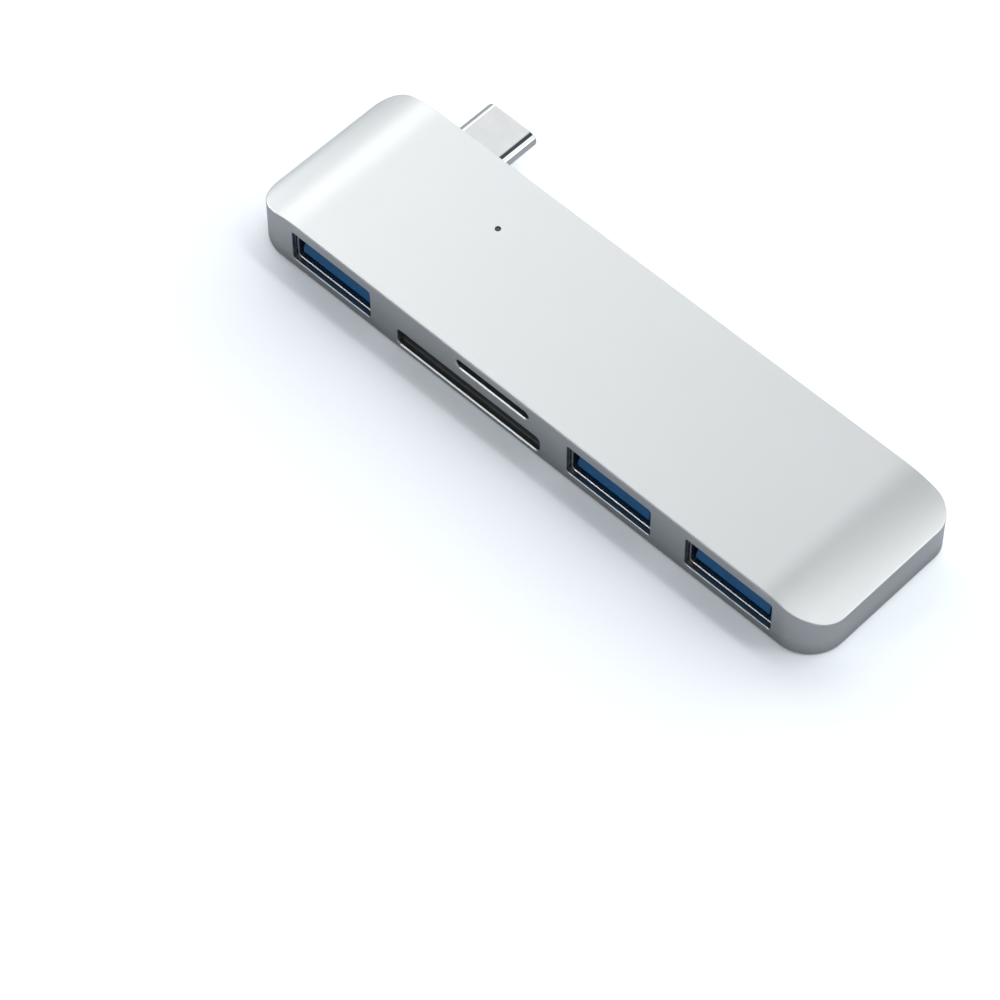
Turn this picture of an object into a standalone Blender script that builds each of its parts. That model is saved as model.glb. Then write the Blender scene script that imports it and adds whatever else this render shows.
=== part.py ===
"""A slim aluminium USB hub: three USB-A ports, an SD slot and a microSD slot in its front wall,
and a fixed USB-C plug in its rear wall, with the circuit board and sockets that sit inside.

The origin is the centre of the underside. X runs along the length, +Y points out of the rear wall,
the way the plug does, and Z is up. Every size below is in millimetres, and add_mesh and place turn
it into metres.
"""

import math

import bmesh
import bpy

MM = 0.001
FIT_GAP = 0.1

# Housing: a machined aluminium shell, open below, whose top falls away at both ends.
BODY_LENGTH = 94.0
BODY_WIDTH = 25.4
BODY_HEIGHT = 8.4
FRONT_CORNER = 5.3
REAR_CORNER = 3.4
CORNER_SEGMENTS = 14
WALL = 0.7
TOP_WALL = 0.9
TOP_EDGE_RADIUS = 0.15
BOTTOM_EDGE_RADIUS = 0.5
CROWN_START = 37.5
CROWN_DROP = 2.7
CROWN_POWER = 2.6
CROWN_STEPS = 5
LIP_CHAMFER = 0.12
FRONT = -BODY_WIDTH / 2
REAR = BODY_WIDTH / 2

# Underside cover and the film on it.
COVER_THICKNESS = 0.8
FILM_THICKNESS = 0.12
FILM_MARGIN = 1.2

# Main board, held by four screws in bosses that hang from the housing's top.
BOARD_BOTTOM = 4.25
BOARD_THICKNESS = 0.8
BOARD_TOP = BOARD_BOTTOM + BOARD_THICKNESS
BOARD_MARGIN = 1.4
BOSS_X = 42.4
BOSS_Y = 8.6
BOSS_RADIUS = 1.6
BOSS_HOLE_RADIUS = 0.85
BOSS_HOLE_TOP = 6.9
SCREW_RADIUS = 0.72
SCREW_HEAD_RADIUS = 1.35
SCREW_HEAD_HEIGHT = 0.7
SCREW_TIP = 6.7
BOARD_HOLE_RADIUS = 0.95
TOP_SIDE = BOARD_TOP + FIT_GAP
LOW_SIDE = BOARD_BOTTOM - FIT_GAP

# USB-A ports. The mouth sits just inside the front wall, with the tongue in its lower half.
PORT_X = (-32.5, 14.3, 33.46)
PORT_OPENING = (13.61, 5.12)
PORT_OPENING_Z = 4.25
PORT_OPENING_RADIUS = 0.35
SHELL_OUTER = (13.0, 5.62)
SHELL_Z = 4.42
SHELL_STEEL = 0.25
SHELL_RADIUS = 0.6
SHELL_FRONT = FRONT + WALL + 0.05
SHELL_DEPTH = 14.1
TAB_STARTS = (6.0, 10.5)
TAB_LENGTH = 1.6
TAB_REACH = 1.5
TONGUE_WIDTH = 11.1
TONGUE_THICKNESS = 1.84
TONGUE_BOTTOM = 2.54
TONGUE_RECESS = 0.2
TONGUE_FLAT = 0.9
TONGUE_LEAD_IN = 0.45
TONGUE_EDGE = 0.1
BLOCK_START = 9.0
CONTACT_X = (-3.5, -1.0, 1.0, 3.5)
CONTACT_NAMES = ("power", "data_minus", "data_plus", "ground")
CONTACT_WIDTH = 1.0
CONTACT_STEEL = 0.15
CONTACT_TIP = 3.6
CONTACT_RISE = 0.35

# SD socket, under the board.
SD_X = -9.07
SD_OPENING = (24.1, 2.69)
SD_OPENING_Z = 2.415
SD_OPENING_RADIUS = 0.7
SD_CARD_WIDTH = 24.4
SD_BASE_WIDTH = 27.4
SD_BASE_BOTTOM = 1.42
SD_ROOF = 3.84
SD_DEPTH = 20.6
SD_BACK_WALL = 1.8
SD_STEEL = 0.2

# MicroSD socket, on the board, with a push-to-release slider beside the card.
MICRO_X = -4.9
MICRO_OPENING = (12.1, 1.34)
MICRO_OPENING_Z = 6.42
MICRO_CARD_HALF = 5.65
MICRO_LEFT = -6.4
MICRO_RIGHT = 8.2
MICRO_DEPTH = 15.6
MICRO_FLOOR = 5.95
MICRO_WALL = 0.5
MICRO_WALL_TOP = 7.08
MICRO_STEEL = 0.15
SLIDER_LEFT = 5.85
SLIDER_RIGHT = 7.55
SLIDER_FRONT = 3.4
SLIDER_BACK = 10.4
SLIDER_ARM_REACH = 1.7
SLIDER_ARM_LENGTH = 1.0
SLIDER_GROOVE = 4.4
SPRING_RADIUS = 0.38
SPRING_WIRE = 0.07
SPRING_TURNS = 11

# USB-C plug in the rear wall.
PLUG_X = -32.8
PLUG_Z = 4.65
PLUG_WIDTH = 8.25
PLUG_HEIGHT = 2.4
PLUG_STEEL = 0.22
PLUG_TIP = 19.75
PLUG_BACK = 8.9
PLUG_TIP_RADIUS = 0.35
PLUG_CAVITY = (6.8, 0.86)
PLUG_CAVITY_DEPTH = 5.4
COLLAR_WIDTH = 10.4
COLLAR_HEIGHT = 4.4
COLLAR_PROUD = 0.4
COLLAR_FLANGE = 0.5
BRACKET_STEEL = 0.2

# Status light: a lamp on the board and a clear pin up to the top surface.
LIGHT_X = -20.4
LIGHT_Y = 4.4
LIGHT_HOLE_RADIUS = 0.39

# Chips and other parts on the board: name, material, size, centre in plan and side of the board.
BOARD_PARTS = (
    ("hub_controller", "chip_black", (7.0, 7.0, 0.85), (17.5, 7.7), "top"),
    ("card_reader_controller", "chip_black", (5.0, 5.0, 0.8), (-4.0, 8.0), "top"),
    ("firmware_memory", "chip_black", (4.9, 3.9, 1.4), (-13.2, 7.6), "top"),
    ("hub_crystal", "crystal_can", (3.2, 2.5, 0.7), (10.6, 8.2), "top"),
    ("voltage_regulator", "chip_black", (2.9, 1.6, 1.1), (36.4, 6.6), "top"),
    ("power_inductor", "ferrite_grey", (4.0, 4.0, 1.9), (30.6, 7.8), "top"),
    ("power_switch", "chip_black", (2.9, 1.6, 1.1), (24.6, 7.8), "top"),
    ("status_led", "lamp_white", (1.6, 0.8, 0.5), (LIGHT_X, LIGHT_Y), "top"),
)
PORT_PARTS = (
    ("esd_array", "chip_black", (2.5, 1.0, 0.5), (-5.2, 2.9), "top"),
    ("bulk_capacitor", "capacitor_tan", (3.5, 2.8, 1.9), (0.0, 4.4), "low"),
)
PAD_SIZE = (6.4, 6.4)

# Colour, metallic and roughness of each material.
MATERIALS = {
    "anodised_aluminium": ((0.78, 0.79, 0.80), 0.9, 0.42),
    "cover_aluminium": ((0.70, 0.71, 0.72), 0.9, 0.45),
    "insulation_film": ((0.02, 0.02, 0.02), 0.0, 0.5),
    "clear_acrylic": ((0.75, 0.78, 0.80), 0.0, 0.15),
    "thermal_silicone": ((0.45, 0.55, 0.62), 0.0, 0.8),
    "black_plastic": ((0.015, 0.016, 0.018), 0.0, 0.45),
    "blue_plastic": ((0.012, 0.075, 0.24), 0.0, 0.4),
    "board_green": ((0.01, 0.09, 0.05), 0.0, 0.45),
    "chip_black": ((0.02, 0.02, 0.022), 0.0, 0.5),
    "crystal_can": ((0.62, 0.62, 0.60), 1.0, 0.3),
    "ferrite_grey": ((0.10, 0.10, 0.11), 0.0, 0.6),
    "capacitor_tan": ((0.55, 0.34, 0.10), 0.0, 0.5),
    "lamp_white": ((0.85, 0.86, 0.82), 0.0, 0.3),
    "screw_steel": ((0.45, 0.45, 0.46), 1.0, 0.35),
    "plated_steel": ((0.66, 0.67, 0.68), 1.0, 0.28),
    "nickel_plate": ((0.72, 0.72, 0.71), 1.0, 0.14),
    "gold_plate": ((0.78, 0.56, 0.22), 1.0, 0.25),
    "spring_steel": ((0.55, 0.55, 0.56), 1.0, 0.3),
}


def clear_scene():
    for obj in list(bpy.data.objects):
        bpy.data.objects.remove(obj, do_unlink=True)


def make_material(name, colour, metallic, roughness):
    made = bpy.data.materials.new(name)
    made.use_nodes = True
    shader = made.node_tree.nodes["Principled BSDF"]
    shader.inputs["Base Color"].default_value = (*colour, 1.0)
    shader.inputs["Metallic"].default_value = metallic
    shader.inputs["Roughness"].default_value = roughness
    made.diffuse_color = (*colour, 1.0)


def add_mesh(name, build, *sizes):
    """A mesh in metres from a function that fills a bmesh in millimetres."""
    shape = bmesh.new()
    build(shape, *sizes)
    bmesh.ops.recalc_face_normals(shape, faces=shape.faces)
    bmesh.ops.scale(shape, vec=(MM, MM, MM), verts=shape.verts)
    mesh = bpy.data.meshes.new(name)
    shape.to_mesh(mesh)
    shape.free()
    mesh.shade_smooth()
    mesh.set_sharp_from_angle(angle=math.radians(35.0))
    return mesh


def place(name, mesh, material, at=(0.0, 0.0, 0.0), parent=None):
    obj = bpy.data.objects.new(name, mesh)
    bpy.context.collection.objects.link(obj)
    obj.location = [value * MM for value in at]
    obj.parent = parent
    if material:
        mesh.materials.clear()
        mesh.materials.append(bpy.data.materials[material])
    return obj


def place_empty(name, at):
    empty = bpy.data.objects.new(name, None)
    bpy.context.collection.objects.link(empty)
    empty.location = [value * MM for value in at]
    empty.empty_display_size = 0.003
    return empty


def combine(target, operation, build, *sizes, at=(0.0, 0.0, 0.0), parent=None):
    """Cut a hidden shape out of the target, or join it on."""
    name = f"{target.name}_{operation.lower()}_{len(target.modifiers)}"
    tool = place(name, add_mesh(name, build, *sizes), None, at, parent)
    tool.hide_render = True
    tool.display_type = "WIRE"
    step = target.modifiers.new(name, "BOOLEAN")
    step.operation = operation
    step.solver = "EXACT"
    step.object = tool


# ---- shapes: each one fills a bmesh, in millimetres ----


def fill_box(shape, low, high):
    corners = bmesh.ops.create_cube(shape, size=1.0)["verts"]
    for corner in corners:
        corner.co = [
            high[axis] if corner.co[axis] > 0 else low[axis] for axis in range(3)
        ]


def fill_boxes(shape, boxes):
    for low, high in boxes:
        fill_box(shape, low, high)


def fill_block(shape, size, edge):
    """A box that stands on its origin, with its edges taken off."""
    half_x, half_y = size[0] / 2, size[1] / 2
    fill_box(shape, (-half_x, -half_y, 0.0), (half_x, half_y, size[2]))
    if edge:
        bmesh.ops.bevel(
            shape,
            geom=list(shape.edges),
            offset=edge,
            segments=1,
            profile=0.5,
            affect="EDGES",
        )


def rounded_outline(width, height, radius, segments):
    """Points round a rectangle with rounded corners, centred on the origin."""
    points = []
    for corner in range(4):
        start = corner * math.pi / 2
        centre_x = (width / 2 - radius) * (1 if corner in (0, 3) else -1)
        centre_y = (height / 2 - radius) * (1 if corner in (0, 1) else -1)
        for step in range(segments + 1):
            angle = start + step / segments * math.pi / 2
            points.append(
                (
                    centre_x + radius * math.cos(angle),
                    centre_y + radius * math.sin(angle),
                )
            )
    return points


def plan_outline(margin, segments):
    """The body's rounded plan, that far inside its outside."""
    points = []
    for corner in range(4):
        radius = REAR_CORNER if corner < 2 else FRONT_CORNER
        centre_x = (BODY_LENGTH / 2 - radius) * (1 if corner in (0, 3) else -1)
        centre_y = (BODY_WIDTH / 2 - radius) * (1 if corner < 2 else -1)
        for step in range(segments + 1):
            angle = (corner + step / segments) * math.pi / 2
            points.append(
                (
                    centre_x + (radius - margin) * math.cos(angle),
                    centre_y + (radius - margin) * math.sin(angle),
                )
            )
    return points


def merged(points):
    """The same outline without points that fall on the one before."""
    kept = []
    for point in points:
        if not kept or math.dist(point, kept[-1]) > 0.001:
            kept.append(point)
    if math.dist(kept[0], kept[-1]) < 0.001:
        kept.pop()
    return kept


def bridge_rings(shape, rings, closed):
    """Quads between each ring and the next, with flat ends, or with the last joined to the first."""
    made = [[shape.verts.new(point) for point in ring] for ring in rings]
    pairs = list(zip(made, made[1:]))
    if closed:
        pairs.append((made[-1], made[0]))
    for ring, after in pairs:
        for step, corner in enumerate(ring):
            following = (step + 1) % len(ring)
            shape.faces.new((corner, ring[following], after[following], after[step]))
    if not closed:
        shape.faces.new(made[0])
        shape.faces.new(list(reversed(made[-1])))


def fill_loft(shape, width, height, radius, segments, sections, closed=False):
    """Rounded rectangles in XZ along Y. Each section is (y, how far the outline shrinks there)."""
    rings = []
    for y, shrink in sections:
        outline = merged(
            rounded_outline(
                width - 2 * shrink, height - 2 * shrink, radius - shrink, segments
            )
        )
        rings.append([(x, y, z) for x, z in outline])
    bridge_rings(shape, rings, closed)


def fill_prism(shape, outline, low, high):
    bridge_rings(shape, [[(x, y, z) for x, y in outline] for z in (low, high)], False)


def fill_side_profile(shape, profile, half_width):
    """An outline in YZ, extruded along X."""
    rings = [[(x, y, z) for y, z in profile] for x in (-half_width, half_width)]
    bridge_rings(shape, rings, False)


def fill_front_profile(shape, profile, front, back):
    """An outline in XZ, extruded along Y."""
    bridge_rings(shape, [[(x, y, z) for x, z in profile] for y in (front, back)], False)


def fill_turned(shape, profile, segments):
    """A solid of revolution round Z. The profile is (radius, z) and both its ends lie on the axis."""
    rings = []
    for radius, z in profile[1:-1]:
        rings.append(
            [
                shape.verts.new(
                    (
                        radius * math.cos(turn * 2 * math.pi / segments),
                        radius * math.sin(turn * 2 * math.pi / segments),
                        z,
                    )
                )
                for turn in range(segments)
            ]
        )
    ends = [shape.verts.new((0.0, 0.0, profile[index][1])) for index in (0, -1)]
    for turn in range(segments):
        after = (turn + 1) % segments
        shape.faces.new((ends[0], rings[0][after], rings[0][turn]))
        shape.faces.new((ends[1], rings[-1][turn], rings[-1][after]))
        for ring, upper in zip(rings, rings[1:]):
            shape.faces.new((ring[turn], ring[after], upper[after], upper[turn]))


def ribbon(path, thickness):
    """The outline in YZ of a strip of even thickness that follows a path."""
    upper, lower = [], []
    for index, point in enumerate(path):
        before = path[max(index - 1, 0)]
        after = path[min(index + 1, len(path) - 1)]
        run, rise = after[0] - before[0], after[1] - before[1]
        length = math.hypot(run, rise)
        offset_y = -rise / length * thickness / 2
        offset_z = run / length * thickness / 2
        upper.append((point[0] + offset_y, point[1] + offset_z))
        lower.append((point[0] - offset_y, point[1] - offset_z))
    return upper + lower[::-1]


# ---- housing ----


def crown_height(x):
    """Height of the top surface at x. It falls ever more steeply towards each end."""
    run = max(abs(x) - CROWN_START, 0.0) / (BODY_LENGTH / 2 - CROWN_START)
    return BODY_HEIGHT - CROWN_DROP * run**CROWN_POWER


def outline_y(x, inset, corner):
    """Distance of the plan outline from the long axis at x, where that side has this corner radius."""
    radius = corner - inset
    run = min(max(abs(x) - (BODY_LENGTH / 2 - corner), 0.0), radius)
    return BODY_WIDTH / 2 - corner + math.sqrt(radius**2 - run**2)


def whole_outline(inset):
    """The plan outline: along the front from left to right, then back along the rear."""
    centre = BODY_LENGTH / 2 - FRONT_CORNER
    stations = []
    for step in range(CORNER_SEGMENTS + 1):
        angle = step / CORNER_SEGMENTS * math.pi / 2
        stations.append(-centre - (FRONT_CORNER - inset) * math.cos(angle))
    for step in range(1, CROWN_STEPS + 1):
        stations.append(-centre + (centre - CROWN_START) * step / CROWN_STEPS)
    stations += [-x for x in reversed(stations)]
    front = [(x, -outline_y(x, inset, FRONT_CORNER)) for x in stations]
    return front + [(x, outline_y(x, inset, REAR_CORNER)) for x in reversed(stations)]


def fill_housing(shape):
    """One shell, open below: rings up the outside, across the top, and up the inside."""

    def ring(inset, height):
        return [(x, y, height(x)) for x, y in whole_outline(inset)]

    rings = []
    for step in range(3, -1, -1):
        angle = step / 3 * math.pi / 2
        inset = BOTTOM_EDGE_RADIUS * (1 - math.cos(angle))
        low = BOTTOM_EDGE_RADIUS * (1 - math.sin(angle))
        rings.append(ring(inset, lambda x, low=low: low))
    for step in range(3):
        angle = step / 2 * math.pi / 2
        inset = TOP_EDGE_RADIUS * (1 - math.cos(angle))
        drop = TOP_EDGE_RADIUS * (1 - math.sin(angle))
        rings.append(ring(inset, lambda x, drop=drop: crown_height(x) - drop))
    mouth = ring(WALL, lambda x: 0.0)
    ceiling = ring(WALL, lambda x: crown_height(x) - TOP_WALL)

    layers = [
        [shape.verts.new(point) for point in layer]
        for layer in [ceiling, mouth, *rings]
    ]
    count = len(layers[0])
    for layer, after in zip(layers, layers[1:]):
        for step in range(count):
            following = (step + 1) % count
            shape.faces.new(
                (layer[step], layer[following], after[following], after[step])
            )
    for layer in (layers[0], layers[-1]):
        for step in range(count // 2 - 1):
            shape.faces.new(
                (
                    layer[step],
                    layer[step + 1],
                    layer[count - 2 - step],
                    layer[count - 1 - step],
                )
            )


def fill_bosses(shape):
    """Four posts whose tops end inside the falling ceiling."""
    for side_x in (-1, 1):
        for side_y in (-1, 1):
            ring = [
                (
                    side_x * BOSS_X + BOSS_RADIUS * math.cos(turn * math.pi / 12),
                    side_y * BOSS_Y + BOSS_RADIUS * math.sin(turn * math.pi / 12),
                )
                for turn in range(24)
            ]
            low = [(x, y, TOP_SIDE) for x, y in ring]
            high = [(x, y, crown_height(x) - TOP_WALL / 2) for x, y in ring]
            made = [[shape.verts.new(point) for point in layer] for layer in (low, high)]
            top = shape.verts.new(
                (side_x * BOSS_X, side_y * BOSS_Y, crown_height(BOSS_X) - TOP_WALL / 2)
            )
            shape.faces.new(made[0])
            for turn in range(24):
                after = (turn + 1) % 24
                shape.faces.new(
                    (made[0][turn], made[0][after], made[1][after], made[1][turn])
                )
                shape.faces.new((made[1][turn], made[1][after], top))


def fill_posts(shape, radius, low, high, segments=16):
    for side_x in (-1, 1):
        for side_y in (-1, 1):
            ring = [
                (
                    side_x * BOSS_X + radius * math.cos(turn * 2 * math.pi / segments),
                    side_y * BOSS_Y + radius * math.sin(turn * 2 * math.pi / segments),
                )
                for turn in range(segments)
            ]
            fill_prism(shape, ring, low, high)


def fill_opening(shape, width, height, radius):
    """A cutter for the front wall whose outer rim is chamfered. The wall's face is at y = 0."""
    sections = (
        (-0.5, -LIP_CHAMFER),
        (0.0, -LIP_CHAMFER),
        (LIP_CHAMFER, 0.0),
        (WALL + 0.5, 0.0),
    )
    fill_loft(shape, width, height, radius, 5, sections)


def fill_round_hole(shape, radius, low, high, segments=20):
    ring = [
        (
            radius * math.cos(turn * 2 * math.pi / segments),
            radius * math.sin(turn * 2 * math.pi / segments),
        )
        for turn in range(segments)
    ]
    fill_prism(shape, ring, low, high)


def make_housing():
    housing = place("top_housing", add_mesh("top_housing", fill_housing), "anodised_aluminium")
    combine(housing, "UNION", fill_bosses)
    combine(
        housing, "DIFFERENCE", fill_posts, BOSS_HOLE_RADIUS, TOP_SIDE - 1.0, BOSS_HOLE_TOP
    )
    for port_x in PORT_X:
        combine(
            housing,
            "DIFFERENCE",
            fill_opening,
            *PORT_OPENING,
            PORT_OPENING_RADIUS,
            at=(port_x, FRONT, PORT_OPENING_Z),
        )
    combine(
        housing,
        "DIFFERENCE",
        fill_opening,
        *SD_OPENING,
        SD_OPENING_RADIUS,
        at=(SD_X, FRONT, SD_OPENING_Z),
    )
    combine(
        housing,
        "DIFFERENCE",
        fill_opening,
        *MICRO_OPENING,
        MICRO_OPENING[1] / 2 - 0.001,
        at=(MICRO_X, FRONT, MICRO_OPENING_Z),
    )
    combine(
        housing,
        "DIFFERENCE",
        fill_loft,
        COLLAR_WIDTH + 2 * FIT_GAP,
        COLLAR_HEIGHT + 2 * FIT_GAP,
        COLLAR_HEIGHT / 2,
        8,
        ((-WALL - 0.5, 0.0), (0.5, 0.0)),
        at=(PLUG_X, REAR, PLUG_Z),
    )
    combine(
        housing,
        "DIFFERENCE",
        fill_round_hole,
        LIGHT_HOLE_RADIUS,
        -TOP_WALL - 0.3,
        0.3,
        at=(LIGHT_X, LIGHT_Y, BODY_HEIGHT),
    )


def make_cover():
    outline = plan_outline(WALL + FIT_GAP, 10)
    mesh = add_mesh("bottom_cover", fill_prism, outline, 0.0, COVER_THICKNESS)
    place("bottom_cover", mesh, "cover_aluminium")


def make_film():
    outline = plan_outline(WALL + FILM_MARGIN, 6)
    mesh = add_mesh("insulation_film", fill_prism, outline, 0.0, FILM_THICKNESS)
    place(
        "insulation_film",
        mesh,
        "insulation_film",
        (0.0, 0.0, COVER_THICKNESS + FIT_GAP),
    )


# ---- board ----


def make_board():
    outline = plan_outline(BOARD_MARGIN, 8)
    mesh = add_mesh("main_board", fill_prism, outline, 0.0, BOARD_THICKNESS)
    board = place("main_board", mesh, "board_green", (0.0, 0.0, BOARD_BOTTOM))
    half_cut = SHELL_OUTER[0] / 2 + 0.3
    cut_back = SHELL_FRONT + SHELL_DEPTH + 0.6
    cuts = [
        ((port_x - half_cut, FRONT, -1.0), (port_x + half_cut, cut_back, 2.0))
        for port_x in PORT_X
    ]
    half_plug = PLUG_WIDTH / 2 + 0.5
    cuts.append(
        ((PLUG_X - half_plug, PLUG_BACK - 0.4, -1.0), (PLUG_X + half_plug, REAR, 2.0))
    )
    combine(board, "DIFFERENCE", fill_boxes, cuts, at=(0.0, 0.0, BOARD_BOTTOM))
    combine(
        board,
        "DIFFERENCE",
        fill_posts,
        BOARD_HOLE_RADIUS,
        -1.0,
        2.0,
        at=(0.0, 0.0, BOARD_BOTTOM),
    )


def put_on_board(name, material, size, plan, side):
    height = TOP_SIDE if side == "top" else LOW_SIDE - size[2]
    mesh = add_mesh(name, fill_block, size, min(size) * 0.06)
    place(name, mesh, material, (*plan, height))


def make_board_parts():
    for name, material, size, plan, side in BOARD_PARTS:
        put_on_board(name, material, size, plan, side)
    board_back = SHELL_FRONT + SHELL_DEPTH
    for number, port_x in enumerate(PORT_X, 1):
        for name, material, size, offset, side in PORT_PARTS:
            plan = (port_x + offset[0], board_back + offset[1])
            put_on_board(f"{name}_{number}", material, size, plan, side)


def make_thermal_pad():
    controller = BOARD_PARTS[0]
    low = TOP_SIDE + controller[2][2] + FIT_GAP
    high = BODY_HEIGHT - TOP_WALL - FIT_GAP
    mesh = add_mesh("thermal_pad", fill_block, (*PAD_SIZE, high - low), 0.0)
    place("thermal_pad", mesh, "thermal_silicone", (*controller[3], low))


def make_screws():
    """Screws up through the board into the bosses. The origin is under the head's seat."""
    shank = SCREW_TIP - LOW_SIDE
    profile = (
        (0.0, -SCREW_HEAD_HEIGHT * 0.45),
        (SCREW_HEAD_RADIUS * 0.3, -SCREW_HEAD_HEIGHT * 0.45),
        (SCREW_HEAD_RADIUS * 0.42, -SCREW_HEAD_HEIGHT),
        (SCREW_HEAD_RADIUS * 0.85, -SCREW_HEAD_HEIGHT),
        (SCREW_HEAD_RADIUS, -SCREW_HEAD_HEIGHT * 0.7),
        (SCREW_HEAD_RADIUS, 0.0),
        (SCREW_RADIUS, 0.0),
        (SCREW_RADIUS, shank - 0.3),
        (SCREW_RADIUS * 0.6, shank),
        (0.0, shank),
    )
    mesh = add_mesh("board_screw", fill_turned, profile, 14)
    number = 0
    for side_x in (-1, 1):
        for side_y in (-1, 1):
            number += 1
            at = (side_x * BOSS_X, side_y * BOSS_Y, LOW_SIDE)
            place(f"board_screw_{number}", mesh, "screw_steel", at)


def make_light_pipe():
    top = BODY_HEIGHT - 0.12
    shoulder = BODY_HEIGHT - TOP_WALL - FIT_GAP
    foot = TOP_SIDE + 0.5 + 0.2
    pin = LIGHT_HOLE_RADIUS - 0.05
    profile = (
        (0.0, foot),
        (0.8, foot),
        (0.8, shoulder),
        (pin, shoulder),
        (pin, top - 0.05),
        (pin * 0.8, top),
        (0.0, top),
    )
    mesh = add_mesh("light_pipe", fill_turned, profile, 16)
    place("light_pipe", mesh, "clear_acrylic", (LIGHT_X, LIGHT_Y, 0.0))


# ---- USB-A ports: local y = 0 is the mouth of the steel shell ----


def fill_port_shell(shape):
    sections = (
        (0.0, 0.0),
        (SHELL_DEPTH, 0.0),
        (SHELL_DEPTH, SHELL_STEEL),
        (0.0, SHELL_STEEL),
    )
    fill_loft(shape, *SHELL_OUTER, SHELL_RADIUS, 4, sections, closed=True)


def fill_shell_tabs(shape):
    low_z = TOP_SIDE - SHELL_Z
    for side in (-1, 1):
        reach = sorted(
            (side * (SHELL_OUTER[0] / 2 - SHELL_STEEL / 2), side * (SHELL_OUTER[0] / 2 + TAB_REACH))
        )
        for start in TAB_STARTS:
            fill_box(
                shape, (reach[0], start, low_z), (reach[1], start + TAB_LENGTH, low_z + SHELL_STEEL)
            )


def fill_tongue(shape):
    """The blade that carries the contacts. Its tip slopes back on the side that has them."""
    low = TONGUE_BOTTOM - SHELL_Z
    high = low + TONGUE_THICKNESS
    back = BLOCK_START + 0.5
    profile = (
        (TONGUE_RECESS, low + TONGUE_EDGE),
        (TONGUE_RECESS + TONGUE_EDGE, low),
        (back, low),
        (back, high),
        (TONGUE_RECESS + TONGUE_LEAD_IN, high),
        (TONGUE_RECESS, low + TONGUE_FLAT),
    )
    fill_side_profile(shape, profile, TONGUE_WIDTH / 2)


def fill_contact(shape):
    """A flat strip with a raised rub point and a foot bent onto the board."""
    rest = TONGUE_BOTTOM + TONGUE_THICKNESS - SHELL_Z + CONTACT_STEEL / 2 + 0.06
    foot = TOP_SIDE - SHELL_Z + CONTACT_STEEL / 2
    path = (
        (CONTACT_TIP, rest),
        (CONTACT_TIP + 0.8, rest + CONTACT_RISE),
        (CONTACT_TIP + 1.6, rest + CONTACT_RISE),
        (CONTACT_TIP + 3.8, rest),
        (SHELL_DEPTH + 0.15, rest),
        (SHELL_DEPTH + 0.38, foot),
        (SHELL_DEPTH + 1.75, foot),
    )
    fill_side_profile(shape, ribbon(path, CONTACT_STEEL), CONTACT_WIDTH / 2)


def make_port(number, port_x, meshes):
    seat = place_empty(f"usb_a_port_{number}", (port_x, SHELL_FRONT, SHELL_Z))
    shell = place(f"usb_a_shell_{number}", meshes["shell"].copy(), "plated_steel", parent=seat)
    combine(shell, "UNION", fill_shell_tabs, parent=seat)

    insulator = place(
        f"usb_a_insulator_{number}", meshes["tongue"].copy(), "blue_plastic", parent=seat
    )
    half_x = SHELL_OUTER[0] / 2 - SHELL_STEEL - 2 * FIT_GAP
    half_z = SHELL_OUTER[1] / 2 - SHELL_STEEL - 2 * FIT_GAP
    block = ((-half_x, BLOCK_START, -half_z), (half_x, SHELL_DEPTH - 0.1, half_z))
    combine(insulator, "UNION", fill_boxes, (block,), parent=seat)
    channel_low = TONGUE_BOTTOM + TONGUE_THICKNESS - SHELL_Z
    half_channel = CONTACT_WIDTH / 2 + FIT_GAP
    channels = [
        (
            (x - half_channel, BLOCK_START - 1.0, channel_low),
            (x + half_channel, SHELL_DEPTH + 1.0, channel_low + 0.35),
        )
        for x in CONTACT_X
    ]
    combine(insulator, "DIFFERENCE", fill_boxes, channels, parent=seat)

    for name, contact_x in zip(CONTACT_NAMES, CONTACT_X):
        place(
            f"usb_a_contact_{number}_{name}",
            meshes["contact"],
            "gold_plate",
            (contact_x, 0.0, 0.0),
            seat,
        )


def make_ports():
    meshes = {
        "shell": add_mesh("usb_a_shell", fill_port_shell),
        "tongue": add_mesh("usb_a_insulator", fill_tongue),
        "contact": add_mesh("usb_a_contact", fill_contact),
    }
    for number, port_x in enumerate(PORT_X, 1):
        make_port(number, port_x, meshes)


# ---- SD socket: local y = 0 is its mouth ----


def make_sd_socket():
    seat = place_empty("sd_socket", (SD_X, SHELL_FRONT, 0.0))
    half = SD_BASE_WIDTH / 2
    body = ((-half, 0.0, SD_BASE_BOTTOM), (half, SD_DEPTH, LOW_SIDE))
    base = place(
        "sd_socket_base", add_mesh("sd_socket_base", fill_boxes, (body,)), "black_plastic", parent=seat
    )
    half_card = SD_CARD_WIDTH / 2
    pocket = (
        (-half_card, -1.0, SD_BASE_BOTTOM - 1.0),
        (half_card, SD_DEPTH - SD_BACK_WALL, SD_ROOF),
    )
    combine(base, "DIFFERENCE", fill_boxes, (pocket,), parent=seat)

    outer = half + FIT_GAP + SD_STEEL
    inner = half + FIT_GAP
    low = SD_BASE_BOTTOM - FIT_GAP - SD_STEEL
    high = LOW_SIDE - 0.2
    channel = (
        (-outer, low),
        (outer, low),
        (outer, high),
        (inner, high),
        (inner, low + SD_STEEL),
        (-inner, low + SD_STEEL),
        (-inner, high),
        (-outer, high),
    )
    mesh = add_mesh("sd_socket_cover", fill_front_profile, channel, 0.05, SD_DEPTH + 0.2)
    place("sd_socket_cover", mesh, "plated_steel", parent=seat)


# ---- microSD socket: local y = 0 is its mouth, and x = 0 the middle of the card ----


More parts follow.
